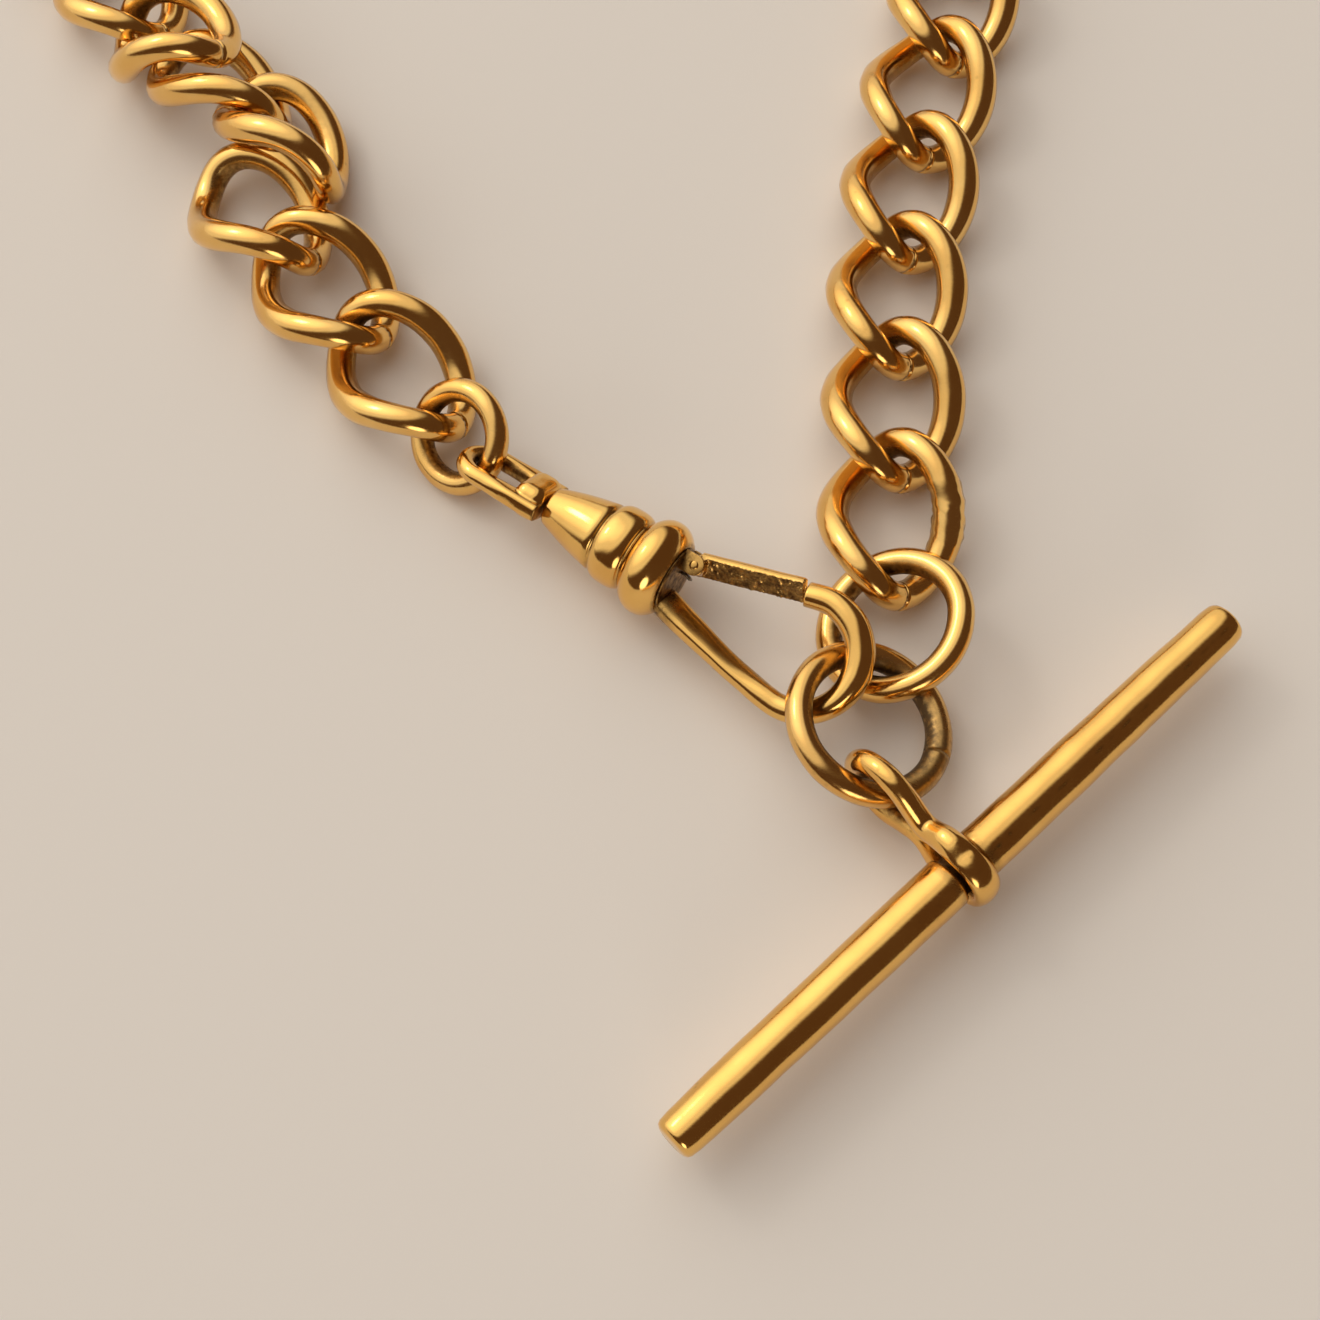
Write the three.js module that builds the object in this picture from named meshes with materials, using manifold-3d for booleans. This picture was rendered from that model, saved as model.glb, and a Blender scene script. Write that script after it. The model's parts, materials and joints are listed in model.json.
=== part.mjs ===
// A gentleman's pocket watch chain: curb links, two end rings, a T-bar and a swivel hook with a
// sprung gate. The chain lies on a flat surface as a closed loop, its hook clipped into the T-bar
// ring. Millimetres, +Z up, origin on the surface below the middle of the whole chain.
import * as THREE from 'three';
import { mergeVertices } from 'three/addons/utils/BufferGeometryUtils.js';
import Module from 'manifold-3d';

const wasm = await Module();
wasm.setup();

// Driving dimensions, in millimetres and degrees.
const LINK_COUNT = 45;
const LINK_WIRE = 1.75;
const LINK_LENGTH = 11.25;
const LINK_WIDTH = 8.35;
const LINK_TWIST = 45;
const LINK_PLAY = 0.35;

const END_RING_OUTER = 9.35;
const END_RING_WIRE = 1.55;
const BAR_RING_OUTER = 9.85;
const BAR_RING_WIRE = 1.55;
const SMALL_RING_OUTER = 6.84;
const SMALL_RING_WIRE = 1.44;

const BAR_LENGTH = 42;
const BAR_MIDDLE_DIAMETER = 2.9;
const BAR_END_DIAMETER = 2.5;
const BAR_END_CHAMFER = 0.45;
const BAR_WAIST_DEPTH = 0.3;
const BAR_SWELL = 0.04;
const EYE_WIRE = 1.5;
const EYE_BAR_CLEARANCE = 0.2;
const EYE_RING_CLEARANCE = 0.6;
const EYE_PINCH_GAP = 0.12;
const EYE_LENGTH = 5.79;

const CONE_SMALL_DIAMETER = 2.35;
const CONE_LARGE_DIAMETER = 4.1;
const CONE_LENGTH = 3.65;
const GROOVE_WIDTH = 0.3;
const GROOVE_DEPTH = 0.35;
const CONE_GROOVE_EXTRA = 0.15;
const EDGE_ROUND = 0.05;
const BAND_DIAMETER = 4.75;
const BAND_WIDTH = 1.7;
const BAND_CROWN = 0.12;
const BEAD_DIAMETER = 5.75;
const BEAD_WIDTH = 2.4;

const NECK_DIAMETER = 4.2;
const NECK_LENGTH = 1.3;
const NECK_SHOULDER = 0.5;
const HOOK_WIRE = 1.5;
const HOOK_BOW_RADIUS = 3.2;
const HOOK_BOW_OFFSET = 0.1;
const HOOK_BOW_LEAD = 0.2;
const HOOK_LENGTH = 12.4;
const HOOK_MOUTH = 1.55;
const HOOK_NOSE_DROP = 0.15;
const GATE_WIDTH = 1.5;
const GATE_THICKNESS = 1.1;
const GATE_TAIL = 0.45;
const GATE_BEND = [2.5, 0.62];
const GATE_TIP_DROP = 0.1;
const GATE_PIVOT_INSET = 0.75;
const GATE_PIVOT_OFFSET = 1.3;
const GATE_PIN_DIAMETER = 0.6;
const GATE_PIN_CLEARANCE = 0.1;
const GATE_PIN_INSET = 0.45;
const GATE_SLOT_CLEARANCE = 0.12;
const SPRING_LEAF = 0.16;
const SPRING_ROOM = 0.3;
const SPRING_START = 0.3;
const SPRING_OVERHANG = 0.2;
const SPRING_SIDE_GAP = 0.1;

const BAIL_WIRE = 1.04;
const BAIL_SPREAD = 2.8;
const BAIL_LENGTH = 6.35;
const YOKE_LENGTH = 1.9;
const YOKE_THICKNESS = 2.0;
const RIVET_DIAMETER = 0.9;
const RIVET_CLEARANCE = 0.12;
const RIVET_HEAD_DIAMETER = 1.5;
const RIVET_HEAD_LENGTH = 0.5;
const RIVET_HEAD_FLAT = 0.7;
const RIVET_HEAD_EDGE = 0.15;
const RIVET_LENGTH = 3.4;
const SEAT_GAP = 0.12;

// Roundness of the pieces: sides of a wire, and steps along a piece.
const WIRE_SIDES = 7;
const LINK_STEPS = 18;
const RING_STEPS = 22;
const TURNED_SIDES = 20;
const SMALL_SIDES = 10;
const NECK_SIDES = 16;
const EYE_STEPS = 36;
const HOOK_STEPS = 32;
const BAIL_STEPS = 24;
const GATE_STEPS = 8;
const ROD_SIDES = 8;

// How far a cut reaches past the piece that it goes through.
const CUT_REACH = 3;

// The T-bar's profile: where its taper begins and eases, as shares of its half length.
const BAR_TAPER_START = 0.25;
const BAR_TAPER_EASE = 0.62;

// The turns that each bent wire is set to, in degrees round the centre of its bend.
const EYE_BAR_ARC = [60, 90, 120, 150, 180, 210, 240, 270, 300];
const EYE_RING_ARC = [-115, -80, -40, 0, 40, 80, 115];
const BEAD_ARC = [-65, -40, -14, 14, 40, 65];
const HOOK_BOW_ARC = [-60, -30, 0, 30, 60, 85];
const BAIL_ARC = [90, 120, 150, 180, 210, 240, 270];

// Where the hook's lower arm passes: along from the neck's seat, and across from the axis.
const HOOK_ARM = [[0.3, -1.35], [1.9, -1.95], [4.1, -2.6], [6.3, -2.95]];

const degrees = THREE.MathUtils.degToRad;
const GOLD = { color: 0xd9a441, roughness: 0.22, metalness: 1 };
const DARK_GOLD = { color: 0xa98548, roughness: 0.38, metalness: 1 };
const STEEL = { color: 0x8c8a84, roughness: 0.35, metalness: 1 };

// ---------------------------------------------------------------- curves and solids

// The oval wire of a curb link, flattened by a twist from one end to the other.
class CurbLinkCurve extends THREE.Curve {
  getPoint(t, target = new THREE.Vector3()) {
    const halfLength = (LINK_LENGTH - LINK_WIRE) / 2;
    const halfWidth = (LINK_WIDTH - LINK_WIRE) / 2;
    const angle = 2 * Math.PI * t;
    const along = halfLength * Math.cos(angle);
    const across = halfWidth * Math.sin(angle);
    const twist = -degrees(LINK_TWIST) * Math.cos(angle);
    return target.set(along, across * Math.cos(twist), across * Math.sin(twist));
  }
}

// The T-bar's eye: one wire bent round the bar and round the ring, pinched together between them.
class BarEyeCurve extends THREE.Curve {
  constructor(barRadius, ringRadius, pinchRadius, spacing) {
    super();
    this.outline = new THREE.CatmullRomCurve3(
      peanutOutline(barRadius, ringRadius, pinchRadius, spacing), true, 'centripetal');
  }

  getPoint(t, target = new THREE.Vector3()) {
    return this.outline.getPoint(t, target);
  }
}

function peanutOutline(barRadius, ringRadius, pinchRadius, spacing) {
  const points = [];
  for (const angle of EYE_BAR_ARC) {
    points.push(polarPoint(0, barRadius, angle));
  }
  points.push(new THREE.Vector3(spacing / 2, 0, -pinchRadius));
  for (const angle of EYE_RING_ARC) {
    points.push(polarPoint(spacing, ringRadius, angle));
  }
  points.push(new THREE.Vector3(spacing / 2, 0, pinchRadius));
  return points;
}

function polarPoint(centre, radius, angle) {
  const turn = degrees(angle);
  return new THREE.Vector3(centre + radius * Math.cos(turn), 0, radius * Math.sin(turn));
}

function closedWire(curve, wire, steps, sides = WIRE_SIDES) {
  return new THREE.TubeGeometry(curve, steps, wire / 2, sides, true);
}

function ringGeometry(outer, wire, steps) {
  return new THREE.TorusGeometry((outer - wire) / 2, wire / 2, WIRE_SIDES, steps);
}

// A round or flattened bar swept along a list of points.
function sweptBar(points, width, thickness, steps, sides) {
  const section = new THREE.Shape();
  for (let side = 0; side < sides; side += 1) {
    const angle = (2 * Math.PI * (side + 0.5)) / sides;
    const x = (thickness / 2) * Math.cos(angle);
    const y = (width / 2) * Math.sin(angle);
    if (side === 0) {
      section.moveTo(x, y);
    } else {
      section.lineTo(x, y);
    }
  }
  section.closePath();
  const extrudePath = new THREE.CatmullRomCurve3(points, false, 'centripetal');
  return new THREE.ExtrudeGeometry(section, { steps, extrudePath, curveSegments: 1 });
}

// A turned piece: the profile's x is the radius and its y the place along the axis, which is +X.
function turned(profile, sides = TURNED_SIDES) {
  const points = profile.map(([radius, along]) => new THREE.Vector2(radius, along));
  return new THREE.LatheGeometry(points, sides).rotateZ(-Math.PI / 2);
}

function toSolid(geometry) {
  const bare = geometry.clone();
  bare.deleteAttribute('normal');
  bare.deleteAttribute('uv');
  const merged = mergeVertices(bare, 1e-4);
  const vertProperties = new Float32Array(merged.attributes.position.array);
  const triVerts = new Uint32Array(merged.index.array);
  return new wasm.Manifold(new wasm.Mesh({ numProp: 3, vertProperties, triVerts }));
}

function toGeometry(solid) {
  const mesh = solid.getMesh();
  const geometry = new THREE.BufferGeometry();
  geometry.setAttribute('position', new THREE.BufferAttribute(new Float32Array(mesh.vertProperties), 3));
  geometry.setIndex(new THREE.BufferAttribute(new Uint32Array(mesh.triVerts), 1));
  geometry.computeVertexNormals();
  return geometry;
}

function box(low, high) {
  const size = high.map((value, axis) => value - low[axis]);
  const geometry = new THREE.BoxGeometry(...size);
  return geometry.translate(low[0] + size[0] / 2, low[1] + size[1] / 2, low[2] + size[2] / 2);
}

// A cylinder whose axis is +Z, standing at (x, y) from low to high.
function uprightCylinder(x, y, diameter, low, high, sides = SMALL_SIDES) {
  const geometry = new THREE.CylinderGeometry(diameter / 2, diameter / 2, high - low, sides);
  return geometry.rotateX(Math.PI / 2).translate(x, y, (low + high) / 2);
}

const model = new THREE.Group();

function addPiece(parent, name, geometry, finish) {
  const mesh = new THREE.Mesh(geometry, new THREE.MeshStandardMaterial(finish));
  mesh.name = name;
  parent.add(mesh);
  return mesh;
}

// A group at a place, turned by heading, then nose up by pitch, then rolled about its own length.
function frameAt(place, heading, pitch = 0, roll = 0) {
  const frame = new THREE.Group();
  frame.position.copy(place);
  frame.rotation.set(degrees(roll), degrees(-pitch), degrees(heading), 'ZYX');
  model.add(frame);
  return frame;
}

// ---------------------------------------------------------------- how the pieces lie

// Each place is where the piece's own centre lies on the surface, as the chain was laid down.
const END_RING_LIE = { place: [12.99, 1.02, 2.72], tilt: [-3, -26.4] };
const BAR_RING_LIE = { place: [11.36, -4.93, 3.04], tilt: [-3.8, 19.2] };
const SMALL_RING_LIE = { place: [-11.58, 12.84, 2.56], tilt: [25, -36] };
const SWIVEL_LIE = { place: [-6.1, 8.24, 2.92], heading: -34.3, pitch: 2.85, roll: 27.6 };
const BAIL_ROLL = -36.5;
const BAR_LIE = { place: [15.95, -13.17, 3.26], heading: 42.8 };
const EYE_PITCH = 1.2;

// Where the stretched part of the chain passes, from its first link to the gathered ones. The far
// bend's reach follows from the number of links, so the loop always closes.
const LINK_LEVEL = 2.37;
const FIRST_STRAND = [
  [13.1, 7.76], [13.55, 15.4], [14.1, 22.9], [15.2, 30.3], [16.7, 37.6], [18.6, 44.9],
];
const LAST_STRAND = [[-38.5, 54.5], [-37.2, 50.0], [-34.47, 45.44]];
const FAR_BEND_RADIUS = 29;
const FAR_BEND_MIDDLE = -9.5;
const FAR_BEND_STEP = 30;

// The last links before the small ring slid together as the chain was laid down, and some of them
// rolled over. These are the ones nearest the swivel, in order.
const GATHERED_LINKS = [
  { place: [-30.52, 40.09, 3.98], heading: -45.5, pitch: 28, roll: -0.7 },
  { place: [-27.0, 36.94, 3.05], heading: -42.5, pitch: 11.8, roll: -36.3 },
  { place: [-22.62, 32.98, 3.58], heading: -55, pitch: 11.3, roll: -42.6 },
  { place: [-24.23, 28.02, 2.51], heading: -53, pitch: 9.8, roll: -12.7 },
  { place: [-20.09, 22.96, 2.41], heading: -49.9, pitch: 0, roll: 0 },
  { place: [-15.26, 17.22, 2.37], heading: -51.4, pitch: 0, roll: 0 },
];

const stretchedCount = LINK_COUNT - GATHERED_LINKS.length;
const linkPitch = LINK_LENGTH - 2 * LINK_WIRE - LINK_PLAY;

function loopCurve(reach) {
  const base = FIRST_STRAND[FIRST_STRAND.length - 1][1];
  const far = [];
  for (let angle = 0; angle <= 180; angle += FAR_BEND_STEP) {
    const turn = degrees(angle);
    far.push([
      FAR_BEND_MIDDLE + FAR_BEND_RADIUS * Math.cos(turn),
      base + reach + FAR_BEND_RADIUS * Math.sin(turn),
    ]);
  }
  const flat = [...FIRST_STRAND, ...far, ...LAST_STRAND];
  const points = flat.map(([x, y]) => new THREE.Vector3(x, y, LINK_LEVEL));
  return new THREE.CatmullRomCurve3(points, false, 'centripetal');
}

// The reach at which the stretched part is as long as its links.
function closingReach() {
  const wanted = (stretchedCount - 1) * linkPitch;
  let low = 1;
  let high = wanted;
  for (let step = 0; step < 40; step += 1) {
    const middle = (low + high) / 2;
    if (loopCurve(middle).getLength() < wanted) {
      low = middle;
    } else {
      high = middle;
    }
  }
  return (low + high) / 2;
}

// ---------------------------------------------------------------- the chain

function linkFrames() {
  const curve = loopCurve(closingReach());
  curve.arcLengthDivisions = 2000;
  const frames = [];
  for (let index = 0; index < stretchedCount; index += 1) {
    const share = index / (stretchedCount - 1);
    const way = curve.getTangentAt(share);
    const heading = THREE.MathUtils.radToDeg(Math.atan2(way.y, way.x));
    frames.push(frameAt(curve.getPointAt(share), heading));
  }
  for (const { place, heading, pitch, roll } of GATHERED_LINKS) {
    frames.push(frameAt(new THREE.Vector3(...place), heading, pitch, roll));
  }
  return frames;
}

function addLinks() {
  const geometry = closedWire(new CurbLinkCurve(), LINK_WIRE, LINK_STEPS);
  linkFrames().forEach((frame, index) => {
    addPiece(frame, `link_${String(index + 1).padStart(2, '0')}`, geometry, GOLD);
  });
}

function addRing(name, lie, outer, wire, finish) {
  const frame = new THREE.Group();
  frame.position.set(...lie.place);
  frame.rotation.set(degrees(lie.tilt[0]), degrees(lie.tilt[1]), 0, 'ZYX');
  model.add(frame);
  addPiece(frame, name, ringGeometry(outer, wire, RING_STEPS), finish);
}

// ---------------------------------------------------------------- the T-bar and its eye

function barGeometry() {
  const half = BAR_LENGTH / 2;
  const middle = BAR_MIDDLE_DIAMETER / 2;
  const end = BAR_END_DIAMETER / 2;
  const waistHalf = EYE_WIRE / 2 + SEAT_GAP;
  const waist = middle - BAR_WAIST_DEPTH;
  const side = [
    [end - BAR_END_CHAMFER, half],
    [end, half - BAR_END_CHAMFER],
    [(middle + end) / 2 + BAR_SWELL, half * BAR_TAPER_EASE],
    [middle, half * BAR_TAPER_START],
    [middle, waistHalf + BAR_WAIST_DEPTH],
    [waist, waistHalf],
  ];
  const profile = [[0, -half]];
  for (const [radius, along] of side) {
    profile.push([radius, -along]);
  }
  for (const [radius, along] of side.reverse()) {
    profile.push([radius, along]);
  }
  profile.push([0, half]);
  return turned(profile);
}

function addBar() {
  const barFrame = frameAt(new THREE.Vector3(...BAR_LIE.place), BAR_LIE.heading);
  addPiece(barFrame, 't_bar', barGeometry(), GOLD);

  const waist = BAR_MIDDLE_DIAMETER / 2 - BAR_WAIST_DEPTH;
  const barLoop = waist + EYE_BAR_CLEARANCE + EYE_WIRE / 2;
  const ringLoop = BAR_RING_WIRE / 2 + EYE_RING_CLEARANCE + EYE_WIRE / 2;
  const pinch = EYE_WIRE / 2 + EYE_PINCH_GAP / 2;
  const curve = new BarEyeCurve(barLoop, ringLoop, pinch, EYE_LENGTH);
  const eyeFrame = frameAt(new THREE.Vector3(...BAR_LIE.place), BAR_LIE.heading + 90, EYE_PITCH);
  addPiece(eyeFrame, 't_bar_eye', closedWire(curve, EYE_WIRE, EYE_STEPS), GOLD);
}

// ---------------------------------------------------------------- the swivel

// Places along the swivel's axis, from the small end of its cone.
const bandStart = CONE_LENGTH + GROOVE_WIDTH;
const bandEnd = bandStart + BAND_WIDTH;
const beadStart = bandEnd + GROOVE_WIDTH;
const beadEnd = beadStart + BEAD_WIDTH;
const neckStart = beadEnd + SEAT_GAP;
const gatePivot = [neckStart + GATE_PIVOT_INSET, GATE_PIVOT_OFFSET];
const leafTop = gatePivot[1] - GATE_WIDTH / 2 - SPRING_ROOM;
const bowCentre = [beadEnd + HOOK_LENGTH - HOOK_BOW_RADIUS - HOOK_WIRE / 2, HOOK_BOW_OFFSET];
const noseEnd = [bowCentre[0] - HOOK_MOUTH, bowCentre[1] + HOOK_BOW_RADIUS - HOOK_NOSE_DROP];

function swivelBodyGeometry() {
  const groove = BAND_DIAMETER / 2 - GROOVE_DEPTH;
  const bead = BEAD_DIAMETER / 2;
  const profile = [
    [0, 0],
    [CONE_SMALL_DIAMETER / 2, 0],
    [CONE_LARGE_DIAMETER / 2, CONE_LENGTH],
    [groove - CONE_GROOVE_EXTRA, CONE_LENGTH + EDGE_ROUND],
    [groove - CONE_GROOVE_EXTRA, bandStart - EDGE_ROUND],
    [BAND_DIAMETER / 2 - BAND_CROWN, bandStart],
    [BAND_DIAMETER / 2, (bandStart + bandEnd) / 2],
    [BAND_DIAMETER / 2 - EDGE_ROUND, bandEnd],
    [groove, bandEnd + EDGE_ROUND],
    [groove, beadStart - EDGE_ROUND / 2],
  ];
  for (const angle of BEAD_ARC) {
    const turn = degrees(angle);
    const radius = bead - (BEAD_WIDTH / 2) * (1 - Math.cos(turn));
    profile.push([radius, (beadStart + beadEnd) / 2 + (BEAD_WIDTH / 2) * Math.sin(turn)]);
  }
  profile.push([groove, beadEnd]);
  profile.push([0, beadEnd]);
  const boreRadius = RIVET_DIAMETER / 2 + RIVET_CLEARANCE;
  const boreDepth = RIVET_LENGTH - RIVET_HEAD_LENGTH - YOKE_LENGTH + 2 * RIVET_CLEARANCE;
  const bore = turned([
    [0, -CUT_REACH],
    [boreRadius, -CUT_REACH],
    [boreRadius, boreDepth],
    [0, boreDepth],
  ], SMALL_SIDES);
  return toGeometry(toSolid(turned(profile)).subtract(toSolid(bore)));
}

// The bow of the hook with its neck, slotted for the gate and drilled for the gate's pin.
function hookGeometry() {
  const armPoints = HOOK_ARM.map(([along, across]) => [neckStart + along, across]);
  armPoints.push([bowCentre[0] - HOOK_BOW_LEAD, bowCentre[1] - HOOK_BOW_RADIUS]);
  for (const angle of HOOK_BOW_ARC) {
    const turn = degrees(angle);
    armPoints.push([
      bowCentre[0] + HOOK_BOW_RADIUS * Math.cos(turn),
      bowCentre[1] + HOOK_BOW_RADIUS * Math.sin(turn),
    ]);
  }
  armPoints.push(noseEnd);
  const path = armPoints.map(([x, y]) => new THREE.Vector3(x, y, 0));
  const bow = toSolid(sweptBar(path, HOOK_WIRE, HOOK_WIRE, HOOK_STEPS, ROD_SIDES));
  const neckRadius = NECK_DIAMETER / 2;
  const neck = toSolid(turned([
    [0, neckStart],
    [neckRadius, neckStart],
    [neckRadius, neckStart + NECK_LENGTH - NECK_SHOULDER],
    [neckRadius - NECK_SHOULDER, neckStart + NECK_LENGTH],
    [0, neckStart + NECK_LENGTH],
  ], NECK_SIDES));
  const slotHalf = GATE_THICKNESS / 2 + GATE_SLOT_CLEARANCE;
  const slotFloor = leafTop - SPRING_LEAF - SEAT_GAP;
  const slot = toSolid(box(
    [neckStart + SEAT_GAP, slotFloor, -slotHalf],
    [neckStart + CUT_REACH, CUT_REACH, slotHalf]));
  const pinHole = toSolid(uprightCylinder(
    ...gatePivot, GATE_PIN_DIAMETER + 2 * GATE_PIN_CLEARANCE, -CUT_REACH, CUT_REACH));
  return toGeometry(neck.add(bow).subtract(slot).subtract(pinHole));
}

// The gate: a straight arm that closes the hook, with a hole for its pin.
function gateGeometry() {
  const path = [
    new THREE.Vector3(gatePivot[0] - GATE_TAIL, gatePivot[1], 0),
    new THREE.Vector3(gatePivot[0] + GATE_BEND[0], gatePivot[1] + GATE_BEND[1], 0),
    new THREE.Vector3(noseEnd[0] - 2 * SEAT_GAP, noseEnd[1] - GATE_TIP_DROP, 0),
  ];
  const arm = toSolid(sweptBar(path, GATE_WIDTH, GATE_THICKNESS, GATE_STEPS, ROD_SIDES));
  const hole = toSolid(uprightCylinder(
    ...gatePivot, GATE_PIN_DIAMETER + 2 * GATE_PIN_CLEARANCE, -CUT_REACH, CUT_REACH));
  return toGeometry(arm.subtract(hole));
}

// The stirrup that the swivel hangs from: a bent wire and the yoke block that the rivet turns in.
function bailGeometry() {
  const spread = BAIL_SPREAD / 2;
  const yokeEnd = -SEAT_GAP;
  const yokeStart = yokeEnd - YOKE_LENGTH;
  const bendCentre = -BAIL_LENGTH + BAIL_WIRE / 2 + spread;
  const points = [[yokeEnd - BAIL_WIRE / 2, spread]];
  for (const angle of BAIL_ARC) {
    const turn = degrees(angle);
    points.push([bendCentre + spread * Math.cos(turn), spread * Math.sin(turn)]);
  }
  points.push([yokeEnd - BAIL_WIRE / 2, -spread]);
  const path = points.map(([x, y]) => new THREE.Vector3(x, y, 0));
  const wire = toSolid(sweptBar(path, BAIL_WIRE, BAIL_WIRE, BAIL_STEPS, ROD_SIDES));
  const half = YOKE_THICKNESS / 2;
  const yoke = toSolid(box([yokeStart, -spread, -half], [yokeEnd, spread, half]));
  const boreRadius = RIVET_DIAMETER / 2 + RIVET_CLEARANCE;
  const bore = toSolid(turned([
    [0, yokeStart - CUT_REACH],
    [boreRadius, yokeStart - CUT_REACH],
    [boreRadius, yokeEnd + CUT_REACH],
    [0, yokeEnd + CUT_REACH],
  ], SMALL_SIDES));
  return toGeometry(wire.add(yoke).subtract(bore));
}

// The rivet: its head turns against the yoke, its shank is fixed in the cone.
function rivetGeometry() {
  const headEnd = -SEAT_GAP - YOKE_LENGTH - SEAT_GAP;
  const headStart = headEnd - RIVET_HEAD_LENGTH;
  const shank = RIVET_DIAMETER / 2;
  const head = RIVET_HEAD_DIAMETER / 2;
  return turned([
    [0, headStart],
    [head * RIVET_HEAD_FLAT, headStart],
    [head, headEnd - RIVET_HEAD_EDGE],
    [head, headEnd],
    [shank, headEnd],
    [shank, headStart + RIVET_LENGTH],
    [0, headStart + RIVET_LENGTH],
  ], SMALL_SIDES);
}

function addSwivel() {
  const { place, heading, pitch, roll } = SWIVEL_LIE;
  const centre = new THREE.Vector3(...place);
  const frame = frameAt(centre, heading, pitch, roll);
  addPiece(frame, 'swivel_body', swivelBodyGeometry(), GOLD);
  addPiece(frame, 'swivel_rivet', rivetGeometry(), GOLD);
  addPiece(frame, 'hook', hookGeometry(), GOLD);
  addPiece(frame, 'gate', gateGeometry(), GOLD);
  const pinHalf = NECK_DIAMETER / 2 - GATE_PIN_INSET;
  addPiece(frame, 'gate_pin', uprightCylinder(...gatePivot, GATE_PIN_DIAMETER, -pinHalf, pinHalf), GOLD);
  const leafHalf = GATE_THICKNESS / 2 - SPRING_SIDE_GAP;
  const leaf = box(
    [neckStart + SPRING_START, leafTop - SPRING_LEAF, -leafHalf],
    [neckStart + NECK_LENGTH + SPRING_OVERHANG, leafTop, leafHalf]);
  addPiece(frame, 'gate_spring', leaf, STEEL);
  addPiece(frameAt(centre, heading, pitch, BAIL_ROLL), 'swivel_bail', bailGeometry(), GOLD);
}

addLinks();
addRing('end_ring', END_RING_LIE, END_RING_OUTER, END_RING_WIRE, GOLD);
addRing('t_bar_ring', BAR_RING_LIE, BAR_RING_OUTER, BAR_RING_WIRE, DARK_GOLD);
addRing('small_ring', SMALL_RING_LIE, SMALL_RING_OUTER, SMALL_RING_WIRE, GOLD);
addBar();
addSwivel();

// Stand the whole chain on the surface, with the origin below its middle.
model.updateMatrixWorld(true);
const whole = new THREE.Box3().setFromObject(model, true);
const middle = whole.getCenter(new THREE.Vector3());
model.position.set(-middle.x, -middle.y, -whole.min.z);
model.updateMatrixWorld(true);

export default model;
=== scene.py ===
"""A gentleman's pocket watch chain laid in a loop: curb links, rings, T-bar and swivel hook in
polished gold. Every new piece is shaped in millimetres about its own middle, then placed where the
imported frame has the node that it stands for."""

import json
import math
import random

import bmesh
import bpy
import numpy as np
from mathutils import Matrix, Vector, noise


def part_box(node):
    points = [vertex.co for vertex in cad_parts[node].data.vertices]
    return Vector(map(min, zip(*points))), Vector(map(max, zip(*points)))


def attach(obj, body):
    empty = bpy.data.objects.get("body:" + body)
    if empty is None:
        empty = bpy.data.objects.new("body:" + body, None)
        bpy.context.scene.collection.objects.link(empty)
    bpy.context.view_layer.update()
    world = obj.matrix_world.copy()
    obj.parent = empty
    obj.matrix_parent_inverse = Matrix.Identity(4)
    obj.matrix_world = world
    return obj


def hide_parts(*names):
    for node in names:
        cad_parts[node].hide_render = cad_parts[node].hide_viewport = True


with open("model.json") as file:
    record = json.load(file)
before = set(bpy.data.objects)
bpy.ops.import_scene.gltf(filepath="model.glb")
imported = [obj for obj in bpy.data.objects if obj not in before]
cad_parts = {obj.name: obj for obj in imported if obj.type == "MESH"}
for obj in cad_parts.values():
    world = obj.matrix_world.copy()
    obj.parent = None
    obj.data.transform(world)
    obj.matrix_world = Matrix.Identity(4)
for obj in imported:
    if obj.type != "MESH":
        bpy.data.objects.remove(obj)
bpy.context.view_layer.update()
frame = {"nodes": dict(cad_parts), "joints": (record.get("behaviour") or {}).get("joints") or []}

MM = 0.001
LINKS = sorted(name for name in frame["nodes"] if name.startswith("link_"))
JOINTS = {joint["name"]: joint for joint in frame["joints"]}


# ---------------------------------------------------------------- where the pieces lie

def middle(node):
    low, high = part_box(node)
    return (Vector(low) + Vector(high)) / 2


def joint_place(name):
    return Vector(JOINTS[name]["pos_m"])


def joint_axis(name):
    return Vector(JOINTS[name]["axis"]).normalized()


def spread_axes(node):
    """The directions in which a node's corners spread least and most."""
    corners = np.array([tuple(v.co) for v in frame["nodes"][node].data.vertices])
    _, axes = np.linalg.eigh(np.cov((corners - corners.mean(0)).T))
    return Vector(axes[:, 0]).normalized(), Vector(axes[:, 2]).normalized()


def upward(direction):
    return direction if direction.z > 0 else -direction


def place_matrix(origin, x_axis, z_axis):
    """Millimetres in a piece's own frame to metres in the chain's frame."""
    x_axis = x_axis.normalized()
    y_axis = z_axis.cross(x_axis).normalized()
    z_axis = x_axis.cross(y_axis)
    turn = Matrix((x_axis, y_axis, z_axis)).transposed().to_4x4()
    return Matrix.Translation(origin) @ turn @ Matrix.Scale(MM, 4)


def link_place(name):
    """A link is the same turned half round about its own axes, so their signs don't matter."""
    normal, along = spread_axes(name)
    corners = [vertex.co for vertex in frame["nodes"][name].data.vertices]
    return place_matrix(sum(corners, Vector()) / len(corners), along, upward(normal))


def ring_place(name):
    normal, _ = spread_axes(name)
    normal = upward(normal)
    return place_matrix(middle(name), Vector((0, 1, 0)).cross(normal), normal)


def bar_place():
    return place_matrix(
        joint_place("eye_round_bar"), joint_axis("eye_round_bar"), Vector((0, 0, 1)))


def eye_place():
    along = joint_place("t_bar_ring_in_eye") - joint_place("eye_round_bar")
    bar = joint_axis("eye_round_bar")
    return place_matrix(joint_place("eye_round_bar"), along, upward(bar.cross(along)))


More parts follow.
